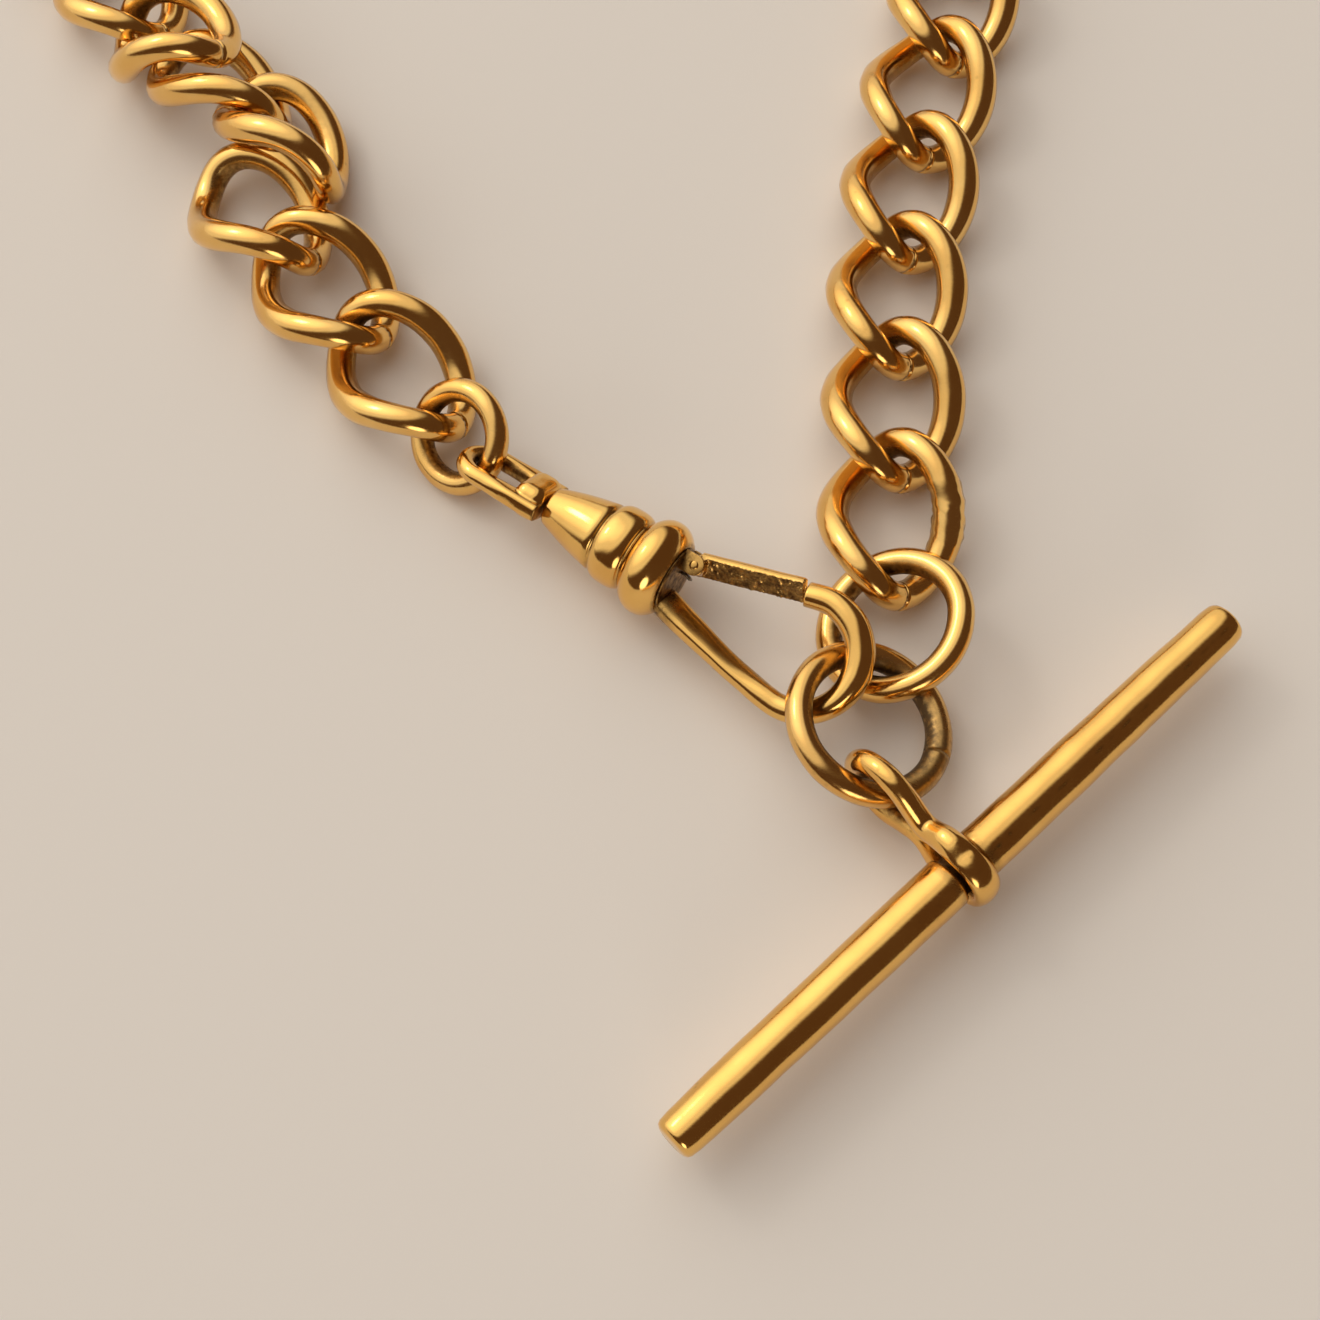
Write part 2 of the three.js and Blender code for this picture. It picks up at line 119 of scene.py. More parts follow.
def swivel_place():
    return place_matrix(
        joint_place("swivel_spin"), joint_axis("swivel_spin"), -joint_axis("gate_hinge"))


def bail_place():
    normal, _ = spread_axes("swivel_bail")
    return place_matrix(joint_place("swivel_spin"), joint_axis("swivel_spin"), upward(normal))


# ---------------------------------------------------------------- camera, floor and light

VIEW_TILT = math.radians(22)
VIEW_FROM_BAR = Vector((-15.95, 13.17, -3.26)) * MM
VIEW_DISTANCE = 118.644 * MM
LENS = 57.2727
SENSOR_WIDTH = 36
CLIP_NEAR = 0.005
CLIP_FAR = 10

BRIGHT_SIDE = (-0.55, 0.50, 0.67)
STRIP_SIDE = (0.05, -0.97, 0.24)
SOFT_EDGE = (0.42, 0.64)
BRIGHT_EDGE = (0.72, 0.99)
STRIP_EDGE = (0.955, 0.985)
DARK_WALL = (0.10, 0.056, 0.032)
LIT_WALL = (0.92, 0.87, 0.80)
LIT_MIDDLE = (1.72, 1.60, 1.40)
LIT_STRIP = (2.6, 2.4, 2.1)
PANE_PLACE = Vector((-0.30, 0.24, 0.34))
PANE_SIZE = (0.13, 0.09)
PANE_POWER = 0.16
PANE_COLOUR = (1.0, 0.95, 0.87)

FLOOR_REACH = 30
FLOOR_DROP = 0.00002
FLOOR_COLOUR = (0.90, 0.86, 0.825)
FLOOR_GRAIN = 900
FLOOR_BUMP = 0.05
FLOOR_BUMP_DEPTH = 0.0001


def view_aim():
    return joint_place("eye_round_bar") + VIEW_FROM_BAR


def add_camera():
    data = bpy.data.cameras.new("camera")
    data.sensor_width = SENSOR_WIDTH
    data.lens = LENS
    data.clip_start = CLIP_NEAR
    data.clip_end = CLIP_FAR
    camera = bpy.data.objects.new("camera", data)
    bpy.context.scene.collection.objects.link(camera)
    away = Vector((0, -math.sin(VIEW_TILT), math.cos(VIEW_TILT)))
    camera.location = view_aim() + away * VIEW_DISTANCE
    camera.rotation_euler = (VIEW_TILT, 0, 0)
    bpy.context.scene.camera = camera


def add_light(name, place, aim, size, power, colour):
    data = bpy.data.lights.new(name, "AREA")
    data.shape = "RECTANGLE"
    data.size, data.size_y = size
    data.energy = power
    data.color = colour
    light = bpy.data.objects.new(name, data)
    bpy.context.scene.collection.objects.link(light)
    light.location = place
    light.rotation_euler = (Vector(aim) - Vector(place)).to_track_quat("-Z", "Y").to_euler()


def lit_part(nodes, links, toward, direction, low, high):
    """From 0 to 1, how far a direction looks toward one side of the room."""
    turn = nodes.new("ShaderNodeVectorMath")
    turn.operation = "DOT_PRODUCT"
    turn.inputs[1].default_value = Vector(toward).normalized()
    links.new(direction, turn.inputs[0])
    share = nodes.new("ShaderNodeMapRange")
    share.interpolation_type = "SMOOTHSTEP"
    share.inputs["From Min"].default_value = low
    share.inputs["From Max"].default_value = high
    links.new(turn.outputs["Value"], share.inputs["Value"])
    return share.outputs["Result"]


def add_studio():
    """A soft bright side of the room up and to the left, a low strip in front, and a dim rest."""
    world = bpy.data.worlds.new("room")
    world.use_nodes = True
    nodes, links = world.node_tree.nodes, world.node_tree.links
    direction = nodes.new("ShaderNodeTexCoord").outputs["Generated"]
    soft = lit_part(nodes, links, BRIGHT_SIDE, direction, *SOFT_EDGE)
    bright = lit_part(nodes, links, BRIGHT_SIDE, direction, *BRIGHT_EDGE)
    low = lit_part(nodes, links, STRIP_SIDE, direction, *STRIP_EDGE)
    lit = add_mix(nodes, links, bright, LIT_WALL, LIT_MIDDLE)
    wall = add_mix(nodes, links, soft, DARK_WALL, lit)
    room = add_mix(nodes, links, low, wall, LIT_STRIP)
    links.new(room, nodes["Background"].inputs["Color"])
    bpy.context.scene.world = world
    aim = view_aim()
    add_light("pane", aim + PANE_PLACE, aim, PANE_SIZE, PANE_POWER, PANE_COLOUR)
    bpy.context.scene.view_settings.view_transform = "Standard"


def add_floor():
    mesh = bmesh.new()
    bmesh.ops.create_grid(mesh, x_segments=1, y_segments=1, size=FLOOR_REACH)
    floor = finish_mesh("floor", mesh, Matrix.Translation((0, 0, -FLOOR_DROP)), smooth=False)
    material, shader = new_material("pale_floor", FLOOR_COLOUR, 0.0, 0.8)
    nodes, links = material.node_tree.nodes, material.node_tree.links
    where = nodes.new("ShaderNodeTexCoord")
    grain = add_noise(nodes, links, where.outputs["Object"], FLOOR_GRAIN, 2)
    bump = nodes.new("ShaderNodeBump")
    bump.inputs["Strength"].default_value = FLOOR_BUMP
    bump.inputs["Distance"].default_value = FLOOR_BUMP_DEPTH
    links.new(grain.outputs["Fac"], bump.inputs["Height"])
    links.new(bump.outputs["Normal"], shader.inputs["Normal"])
    floor.data.materials.append(material)


# ---------------------------------------------------------------- mesh helpers

WELD = 1e-4
WELD_SHARE = 0.01
DENT_SHIFT = (3.7, 1.3, 2.1)


def finish_mesh(name, mesh, place, smooth=True):
    """Makes a bmesh an object whose place is in its mesh, with its faces pointing outwards."""
    mesh.transform(place)
    bmesh.ops.recalc_face_normals(mesh, faces=mesh.faces)
    for face in mesh.faces:
        face.smooth = smooth
    data = bpy.data.meshes.new(name)
    mesh.to_mesh(data)
    mesh.free()
    piece = bpy.data.objects.new(name, data)
    bpy.context.scene.collection.objects.link(piece)
    return piece


def wire_bmesh(points, radius, cyclic, radii=None, sides=5):
    """A round wire swept along its points, with closed ends where it isn't a loop."""
    curve = bpy.data.curves.new("wire", "CURVE")
    curve.dimensions = "3D"
    curve.bevel_depth = radius
    curve.bevel_resolution = sides
    curve.use_fill_caps = True
    curve.twist_mode = "MINIMUM"
    spline = curve.splines.new("POLY")
    spline.points.add(len(points) - 1)
    for index, point in enumerate(points):
        spline.points[index].co = (*point, 1)
        spline.points[index].radius = radii[index] if radii else 1.0
    spline.use_cyclic_u = cyclic
    holder = bpy.data.objects.new("wire", curve)
    data = bpy.data.meshes.new_from_object(holder)
    mesh = bmesh.new()
    mesh.from_mesh(data)
    bpy.data.objects.remove(holder)
    bpy.data.curves.remove(curve)
    bpy.data.meshes.remove(data)
    bmesh.ops.remove_doubles(mesh, verts=mesh.verts, dist=radius * WELD_SHARE)
    bmesh.ops.recalc_face_normals(mesh, faces=mesh.faces)
    return mesh


def smooth_path(corners, steps, cyclic=False):
    """Points along a soft curve through the corners, equally spread between each two."""
    count = len(corners)
    spans = count if cyclic else count - 1
    path = []
    for span in range(spans):
        near = [corners[(span + shift) % count] if cyclic
                else corners[min(max(span + shift, 0), count - 1)] for shift in (-1, 0, 1, 2)]
        a, b, c, d = (Vector(corner) for corner in near)
        for step in range(steps):
            t = step / steps
            path.append(0.5 * (2 * b + (c - a) * t + (2 * a - 5 * b + 4 * c - d) * t ** 2
                               + (3 * b - a - 3 * c + d) * t ** 3))
    if not cyclic:
        path.append(Vector(corners[-1]))
    return path


def turned_bmesh(profile, steps):
    """A turned piece about +X: the profile lists radius and place along the axis."""
    mesh = bmesh.new()
    corners = [mesh.verts.new((along, radius, 0)) for radius, along in profile]
    edges = [mesh.edges.new(pair) for pair in zip(corners, corners[1:])]
    bmesh.ops.spin(
        mesh, geom=corners + edges, cent=(0, 0, 0), axis=(1, 0, 0), angle=2 * math.pi,
        steps=steps, use_merge=True)
    bmesh.ops.remove_doubles(mesh, verts=mesh.verts, dist=WELD)
    bmesh.ops.recalc_face_normals(mesh, faces=mesh.faces)
    return mesh


def round_edges(mesh, offset, segments):
    bmesh.ops.bevel(
        mesh, geom=mesh.edges[:], offset=offset, segments=segments, profile=0.5,
        affect="EDGES", material=-1)


def box_bmesh(low, high, rounding, segments):
    mesh = bmesh.new()
    size = [top - bottom for bottom, top in zip(low, high)]
    centre = [(top + bottom) / 2 for bottom, top in zip(low, high)]
    bmesh.ops.create_cube(
        mesh, size=1, matrix=Matrix.Translation(centre) @ Matrix.Diagonal((*size, 1)))
    round_edges(mesh, rounding, segments)
    return mesh


def join_bmesh(target, *others):
    for other in others:
        data = bpy.data.meshes.new("part")
        other.to_mesh(data)
        other.free()
        target.from_mesh(data)
        bpy.data.meshes.remove(data)
    return target


def cast_together(mesh, voxel, rounds):
    """Melts overlapping solids into one skin with soft inner corners, as in a casting."""
    data = bpy.data.meshes.new("cast")
    mesh.to_mesh(data)
    mesh.free()
    holder = bpy.data.objects.new("cast", data)
    bpy.context.scene.collection.objects.link(holder)
    remesh = holder.modifiers.new("melt", "REMESH")
    remesh.mode = "VOXEL"
    remesh.voxel_size = voxel
    shaped = bpy.data.meshes.new_from_object(
        holder.evaluated_get(bpy.context.evaluated_depsgraph_get()))
    bpy.data.objects.remove(holder)
    bpy.data.meshes.remove(data)
    cast = bmesh.new()
    cast.from_mesh(shaped)
    bpy.data.meshes.remove(shaped)
    for _ in range(rounds):
        bmesh.ops.smooth_vert(
            cast, verts=cast.verts, factor=0.5, use_axis_x=True, use_axis_y=True, use_axis_z=True)
    return cast


def dent(mesh, depth, size, seed):
    """Small hand-worn unevenness along a piece's own normals."""
    mesh.normal_update()
    shift = Vector([seed * share for share in DENT_SHIFT])
    for corner in mesh.verts:
        corner.co += corner.normal * depth * noise.noise(corner.co / size + shift)


def mark_recess(mesh, rule):
    """Stores how sheltered each corner is, from 0 to 1, for tarnish together with painted shade to
    follow.
    """
    layer = mesh.verts.layers.float.new("recess")
    mesh.normal_update()
    for corner in mesh.verts:
        corner[layer] = min(max(rule(corner), 0.0), 1.0)


def soft_step(value, low, high):
    share = min(max((value - low) / (high - low), 0.0), 1.0)
    return share * share * (3 - 2 * share)


# ---------------------------------------------------------------- finishes

GOLD = (0.88, 0.56, 0.19)
DEEP_GOLD = (0.82, 0.47, 0.13)
BROWN = (0.09, 0.045, 0.018)
GREY_BROWN = (0.17, 0.115, 0.06)
CLOUD_SCALE = 260
SPECK_SCALE = 2600
SCRATCH_SCALE = 900
SCRATCH_TURN = (0.4, 0.2, 0.9)
SCRATCH_STRETCH = (1.0, 14.0, 14.0)
PIT_SCALE = 1500
GOLD_BUMP = 0.35
GOLD_BUMP_DEPTH = 0.00004
STEEL_LIGHT = (0.24, 0.19, 0.13)
STEEL_DARK = (0.10, 0.08, 0.05)


def add_noise(nodes, links, vector, scale, detail, rough=0.5):
    texture = nodes.new("ShaderNodeTexNoise")
    texture.inputs["Scale"].default_value = scale
    texture.inputs["Detail"].default_value = detail
    texture.inputs["Roughness"].default_value = rough
    links.new(vector, texture.inputs["Vector"])
    return texture


def add_math(nodes, links, operation, first, second):
    step = nodes.new("ShaderNodeMath")
    step.operation = operation
    for socket, value in zip(step.inputs, (first, second)):
        if isinstance(value, (int, float)):
            socket.default_value = value
        else:
            links.new(value, socket)
    return step.outputs[0]


def add_range(nodes, links, value, low, high, to_low=0.0, to_high=1.0):
    step = nodes.new("ShaderNodeMapRange")
    step.inputs["From Min"].default_value = low
    step.inputs["From Max"].default_value = high
    step.inputs["To Min"].default_value = to_low
    step.inputs["To Max"].default_value = to_high
    links.new(value, step.inputs["Value"])
    return step.outputs["Result"]


def add_mix(nodes, links, share, first, second):
    mix = nodes.new("ShaderNodeMix")
    mix.data_type = "RGBA"
    links.new(share, mix.inputs[0])
    for socket, value in ((mix.inputs[6], first), (mix.inputs[7], second)):
        if isinstance(value, tuple):
            socket.default_value = (*value, 1)
        else:
            links.new(value, socket)
    return mix.outputs[2]


def new_material(name, colour, metallic, roughness):
    material = bpy.data.materials.new(name)
    material.use_nodes = True
    shader = material.node_tree.nodes["Principled BSDF"]
    shader.inputs["Base Color"].default_value = (*colour, 1)
    shader.inputs["Metallic"].default_value = metallic
    shader.inputs["Roughness"].default_value = roughness
    return material, shader


def worn_gold_group():
    """Handled gold: cloudy colour, brown tarnish with painted shade where sheltered, hairline
    scratches and pits.
    """
    group = bpy.data.node_groups.new("worn_gold", "ShaderNodeTree")
    face = group.interface
    for name, kind, value in (
        ("Gold", "NodeSocketColor", (0.9, 0.6, 0.2, 1)),
        ("Deep Gold", "NodeSocketColor", (0.6, 0.3, 0.08, 1)),
        ("Patina And Painted Shade Colour", "NodeSocketColor", (0.1, 0.06, 0.03, 1)),
        ("Patina And Painted Shade", "NodeSocketFloat", 0.5),
        ("Polish", "NodeSocketFloat", 0.16),
        ("Pitting", "NodeSocketFloat", 0.3),
    ):
        socket = face.new_socket(name=name, in_out="INPUT", socket_type=kind)
        socket.default_value = value
    for name, kind in (("Colour", "NodeSocketColor"), ("Roughness", "NodeSocketFloat"),
                       ("Height", "NodeSocketFloat")):
        face.new_socket(name=name, in_out="OUTPUT", socket_type=kind)
    nodes, links = group.nodes, group.links
    given = nodes.new("NodeGroupInput")
    result = nodes.new("NodeGroupOutput")
    where = nodes.new("ShaderNodeTexCoord").outputs["Object"]
    recess = nodes.new("ShaderNodeAttribute")
    recess.attribute_name = "recess"
    cloud = add_noise(nodes, links, where, CLOUD_SCALE, 4, 0.6).outputs["Fac"]
    speck = add_noise(nodes, links, where, SPECK_SCALE, 5, 0.65).outputs["Fac"]
    hair = nodes.new("ShaderNodeMapping")
    hair.inputs["Rotation"].default_value = SCRATCH_TURN
    hair.inputs["Scale"].default_value = SCRATCH_STRETCH
    links.new(where, hair.inputs["Vector"])
    scratch = add_noise(
        nodes, links, hair.outputs["Vector"], SCRATCH_SCALE, 3, 0.7).outputs["Fac"]
    pit = nodes.new("ShaderNodeTexVoronoi")
    pit.inputs["Scale"].default_value = PIT_SCALE
    links.new(where, pit.inputs["Vector"])
    patch = add_range(nodes, links, cloud, 0.56, 0.70)
    hole = add_range(nodes, links, pit.outputs["Distance"], 0.10, 0.26, 1.0, 0.0)
    pits = add_math(nodes, links, "MULTIPLY", add_math(nodes, links, "MULTIPLY", hole, patch),
                    given.outputs["Pitting"])

    # Painted shade: sheltered places turn toward the brown colour, partly as tarnish and partly as
    # shade in hollows and between parts; pits add to it.
    sheltered = add_math(nodes, links, "MULTIPLY", recess.outputs["Fac"],
                         add_range(nodes, links, speck, 0.3, 0.62, 0.55, 1.3))
    shade_and_tarnish_film = add_math(nodes, links, "MULTIPLY", sheltered, given.outputs["Patina And Painted Shade"])
    shade_and_tarnish_film = add_math(nodes, links, "MINIMUM", add_math(nodes, links, "ADD", shade_and_tarnish_film,
                    add_math(nodes, links, "MULTIPLY", pits, 0.8)), 1.0)
    warm = add_mix(nodes, links, add_range(nodes, links, cloud, 0.35, 0.68),
                   given.outputs["Gold"], given.outputs["Deep Gold"])
    colour = add_mix(nodes, links, shade_and_tarnish_film, warm, given.outputs["Patina And Painted Shade Colour"])
    links.new(colour, result.inputs["Colour"])

    rough = add_math(nodes, links, "ADD", given.outputs["Polish"],
                     add_range(nodes, links, scratch, 0.45, 0.75, 0.0, 0.10))
    rough = add_math(nodes, links, "ADD", rough, add_math(nodes, links, "MULTIPLY", shade_and_tarnish_film, 0.32))
    links.new(rough, result.inputs["Roughness"])

    height = add_math(nodes, links, "MULTIPLY", scratch, 0.12)
    height = add_math(nodes, links, "ADD", height, add_math(nodes, links, "MULTIPLY", cloud, 0.45))
    height = add_math(nodes, links, "ADD", height, add_math(nodes, links, "MULTIPLY", speck, 0.08))
    height = add_math(nodes, links, "SUBTRACT", height, pits)
    links.new(height, result.inputs["Height"])
    return group


def gold_material(group, name, shade_and_tarnish, polish, pitting, gold=GOLD, deep=DEEP_GOLD,
                  shade_and_tarnish_colour=BROWN):
    material, shader = new_material(name, gold, 1.0, polish)
    nodes, links = material.node_tree.nodes, material.node_tree.links
    worn = nodes.new("ShaderNodeGroup")
    worn.node_tree = group
    for socket, colour in (
            ("Gold", gold), ("Deep Gold", deep), ("Patina And Painted Shade Colour", shade_and_tarnish_colour)):
        worn.inputs[socket].default_value = (*colour, 1)
    # The tarnish amount also sets the painted shade in sheltered places.
    for socket, value in (("Patina And Painted Shade", shade_and_tarnish), ("Polish", polish), ("Pitting", pitting)):
        worn.inputs[socket].default_value = value
    bump = nodes.new("ShaderNodeBump")
    bump.inputs["Strength"].default_value = GOLD_BUMP
    bump.inputs["Distance"].default_value = GOLD_BUMP_DEPTH
    links.new(worn.outputs["Colour"], shader.inputs["Base Color"])
    links.new(worn.outputs["Roughness"], shader.inputs["Roughness"])
    links.new(worn.outputs["Height"], bump.inputs["Height"])
    links.new(bump.outputs["Normal"], shader.inputs["Normal"])
    return material


def make_finishes():
    group = worn_gold_group()
    # The first number of each finish sets its tarnish together with painted shade in sheltered
    # places.
    return {
        "link": gold_material(group, "link_gold", 0.75, 0.13, 0.35),
        "ring": gold_material(group, "ring_gold", 0.75, 0.14, 0.35),
        "dull_ring": gold_material(
            group, "dull_ring_gold", 1.0, 0.15, 0.6, (0.86, 0.53, 0.18), (0.78, 0.46, 0.14),
            GREY_BROWN),
        "bar": gold_material(group, "bar_gold", 0.8, 0.12, 0.6, (0.90, 0.55, 0.16)),
        "swivel": gold_material(group, "swivel_gold", 0.8, 0.09, 0.25, (0.90, 0.56, 0.17)),
        "rough": gold_material(group, "rough_gold", 0.75, 0.11, 0.9),
    }


def dress(piece, body, material, slot, *nodes):
    piece.data.materials.append(material)
    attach(piece, body)
    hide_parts(*nodes)


# ---------------------------------------------------------------- curb links

LINK_WIRE = 1.75
LINK_LENGTH = 11.25
LINK_WIDTH = 8.35
LINK_TWIST = math.radians(45)
LINK_POINTS = 110
LINK_DENT = (0.025, 1.6)
LIMB_SWELL = 0.10
LIMB_MIDDLE = 0.5
LIMB_END = 3.9
WIRE_EASE = 0.02
LINK_TURN = 0.9952
SEAM_AT = 0.03
SEAM_SPREAD = 0.02
SIDE_SEAM_AT = 0.16
SIDE_SEAM_LINK = "link_42"
SOLDERED_LINK = "link_01"
SOLDER_SPOT = Vector((0.6, -3.3, 0))
SOLDER_REACH = 2.7
SOLDER_DEPTH = 0.14
SOLDER_GRAIN = 0.27
SOLDER_SHIFT = Vector((3.0, 2.1, 0.9))


def link_path(start):
    """The middle of a link's wire: an oval twisted a quarter turn, all but closed at its seam."""
    path = []
    half_length = (LINK_LENGTH - LINK_WIRE) / 2
    half_width = (LINK_WIDTH - LINK_WIRE) / 2
    for step in range(LINK_POINTS + 1):
        angle = 2 * math.pi * (start + LINK_TURN * step / LINK_POINTS)
        across = half_width * math.sin(angle)
        twist = -LINK_TWIST * math.cos(angle)
        path.append(Vector((
            half_length * math.cos(angle), across * math.cos(twist), across * math.sin(twist))))
    return path


# Painted shade and tarnish on the inner faces, strongest near the ends where the next links sit.
def link_recess(corner):
    place = corner.co
    radial = Vector((place.x * 0.55, place.y, place.z)).normalized()
    inward = -corner.normal.dot(radial)
    return soft_step(inward, 0.1, 0.95) * (0.35 + 0.65 * soft_step(abs(place.x), 2.4, 4.2))


def roughen(mesh, spot):
    """Lumpy solder on the part of a link near a spot."""
    mesh.normal_update()
    for corner in mesh.verts:
        near = 1 - soft_step((corner.co - spot).length, SOLDER_REACH * 0.5, SOLDER_REACH)
        lump = noise.noise(corner.co / SOLDER_GRAIN + SOLDER_SHIFT)
        corner.co += corner.normal * SOLDER_DEPTH * near * lump


def add_link(name, number, finish):
    place = link_place(name)
    away = 1 if place.to_3x3().col[0].y > 0 else -1
    half_turn = 0.5 if away > 0 else 0
    start = SEAM_AT + SEAM_SPREAD * random.random() + half_turn
    if name == SIDE_SEAM_LINK:
        start = SIDE_SEAM_AT + 0.5 - half_turn
    path = link_path(start)
    radii = [1 + LIMB_SWELL * (1 - soft_step(abs(point.x), LIMB_MIDDLE, LIMB_END))
             for point in path]
    mesh = wire_bmesh(path, LINK_WIRE / 2 - WIRE_EASE, False, radii)
    dent(mesh, *LINK_DENT, number)
    if name == SOLDERED_LINK:
        roughen(mesh, SOLDER_SPOT * away)
    mark_recess(mesh, link_recess)
    piece = finish_mesh(f"{name}_wire", mesh, place)
    dress(piece, name, finish, "polished_gold", name)


# ---------------------------------------------------------------- rings

END_RING = (9.35, 1.55)
T_BAR_RING = (9.85, 1.55)
SMALL_RING = (6.84, 1.44)
RING_POINTS = 120
RING_DENT = (0.025, 1.4)
RING_SEAM = 0.07
RING_SEAM_ANGLE = -0.35


def ring_bmesh(outer, wire, seam_at):
    """A jump ring: wire bent round, either closed or with its ends butted at a hairline seam."""
    radius = (outer - wire) / 2
    gap = 0.0 if seam_at is None else RING_SEAM / radius
    start = (seam_at or 0.0) + gap / 2
    path = []
    for step in range(RING_POINTS + (1 if gap else 0)):
        angle = start + (2 * math.pi - gap) * step / RING_POINTS
        path.append(Vector((radius * math.cos(angle), radius * math.sin(angle), 0)))
    return wire_bmesh(path, wire / 2 - WIRE_EASE, not gap)


# Painted shade and tarnish on the ring's inner faces.
def ring_recess(corner):
    radial = Vector((corner.co.x, corner.co.y, 0)).normalized()
    return soft_step(-corner.normal.dot(radial), 0.15, 0.9)


def dull_recess(corner):
    """Brown inside all round, as tarnish with painted shade, and dull over most of the side away
    from the swivel.
    """
    side = soft_step(corner.co.x, -0.5, 3.6) * soft_step(-corner.co.y, -3.4, 1.5)
    streak = 0.5 + 0.5 * noise.noise(corner.co * 1.6)
    return max(ring_recess(corner), side * (0.35 + 0.4 * streak))


def add_ring(name, size, finish, slot, seed, rule=ring_recess, seam_at=None):
    mesh = ring_bmesh(*size, seam_at)
    dent(mesh, *RING_DENT, seed)
    mark_recess(mesh, rule)
    piece = finish_mesh(f"{name}_wire", mesh, ring_place(name))
    dress(piece, name, finish, slot, name)


# ---------------------------------------------------------------- T-bar and its eye

BAR_LENGTH = 42.0
BAR_MIDDLE = 1.45
BAR_END = 1.25
BAR_WAIST = 1.15
BAR_CORNER = 0.6
BAR_WAIST_REACH = 2.0
BAR_SWELL = 0.7
BAR_RINGS = 70
BAR_DENT = (0.03, 2.2)
BAR_SEAM_ANGLE = 1.95
EYE_WIRE = 1.5
EYE_SPACING = 5.79
EYE_BAR_LOOP = 2.1
EYE_RING_LOOP = 2.125
EYE_PINCH = 0.74
EYE_THICK = 1.15
EYE_THINNING = 0.26
EYE_SOLDER = (0.85, 0.42, 0.8)
EYE_VOXEL = 0.08
EYE_DENT = (0.03, 1.3)
COLLAR_INSIDE = 1.24
COLLAR_FLATTENING = 0.6


def bar_profile():
    """Flat ends with rounded corners, a long swell to the middle, and a waist for the eye."""
    half = BAR_LENGTH / 2
    side = [(0.0, half), (BAR_END - 0.5, half), (BAR_END - 0.3, half - 0.05)]
    side += [(BAR_END - 0.12, half - 0.16), (BAR_END - 0.03, half - 0.34),
             (BAR_END, half - BAR_CORNER)]
    for step in range(1, BAR_RINGS):
        along = half - BAR_CORNER - step * (half - BAR_WAIST_REACH) / BAR_RINGS
        swell = 1 - (along / half) ** 2
        side.append((BAR_END + (BAR_MIDDLE - BAR_END) * swell ** BAR_SWELL, along))
    side += [(BAR_MIDDLE, 1.15), (BAR_MIDDLE - 0.05, 1.0), (BAR_WAIST, 0.86)]
    return side + [(radius, -along) for radius, along in reversed(side)]


def bar_recess(corner):
    """Painted shade and tarnish in the waist under the eye, and dark along the drawn seam low on
    one side.
    """
    waist = 1 - soft_step(abs(corner.co.x), 0.8, 1.5)
    angle = math.atan2(corner.co.z, corner.co.y)
    waver = 0.10 * noise.noise(Vector((corner.co.x * 0.8, 3.0, 0.0)))
    seam = 1 - soft_step(abs(angle - BAR_SEAM_ANGLE + waver), 0.02, 0.09)
    broken = soft_step(noise.noise(Vector((corner.co.x * 1.4, 0.0, 7.0))), -0.1, 0.35)
    return max(waist * 0.9, seam * broken * 0.5 * soft_step(corner.co.x, -4.0, 2.0))


def add_bar(finish):
    mesh = turned_bmesh(bar_profile(), 128)
    dent(mesh, *BAR_DENT, 5)
    mark_recess(mesh, bar_recess)
    piece = finish_mesh("t_bar_turned", mesh, bar_place())
    dress(piece, "t_bar", finish, "polished_gold", "t_bar")


def eye_corners():
    """Round the bar's waist, pinched in the middle, and round the ring."""
    corners = []
    for angle in range(50, 311, 20):
        turn = math.radians(angle)
        corners.append((EYE_BAR_LOOP * math.cos(turn), 0, EYE_BAR_LOOP * math.sin(turn)))
    corners.append((EYE_SPACING * 0.5, 0, -EYE_PINCH))
    for angle in range(-120, 121, 24):
        turn = math.radians(angle)
        corners.append(
            (EYE_SPACING + EYE_RING_LOOP * math.cos(turn), 0, EYE_RING_LOOP * math.sin(turn)))
    corners.append((EYE_SPACING * 0.5, 0, EYE_PINCH))
    return corners


# Painted shade and tarnish on the inner faces of both loops of the eye.
def eye_recess(corner):
    place = corner.co
    centre = Vector((0 if place.x < EYE_SPACING * 0.45 else EYE_SPACING, 0, 0))
    inward = -corner.normal.dot((place - centre).normalized())
    return soft_step(inward, 0.1, 0.9) * 0.9


def flatten_collar(mesh):
    """Hammers the wire round the bar into a broad collar that stands up less from the bar."""
    for corner in mesh.verts:
        reach = math.hypot(corner.co.x, corner.co.z)
        near = 1 - soft_step(corner.co.x, 0.2, 2.1)
        flat = COLLAR_INSIDE + (reach - COLLAR_INSIDE) * COLLAR_FLATTENING
        scale = 1 + near * (flat / reach - 1)
        corner.co = Vector((corner.co.x * scale, corner.co.y, corner.co.z * scale))


def add_eye(finish):
    path = smooth_path(eye_corners(), 6, True)
    radii = [EYE_THICK - EYE_THINNING * soft_step(point.x, 0.4, EYE_SPACING * 0.55)
             for point in path]
    wire = wire_bmesh(path, EYE_WIRE / 2, True, radii, sides=6)
    solder = bmesh.new()
    bmesh.ops.create_icosphere(
        solder, subdivisions=3, radius=1,
        matrix=Matrix.Translation((EYE_SPACING * 0.5, 0, 0)) @ Matrix.Diagonal((*EYE_SOLDER, 1)))
    mesh = cast_together(join_bmesh(wire, solder), EYE_VOXEL, 6)
    flatten_collar(mesh)
    dent(mesh, *EYE_DENT, 9)
    mark_recess(mesh, eye_recess)
    piece = finish_mesh("t_bar_eye_wire", mesh, eye_place())
    dress(piece, "t_bar_eye", finish, "polished_gold", "t_bar_eye")


# ---------------------------------------------------------------- swivel

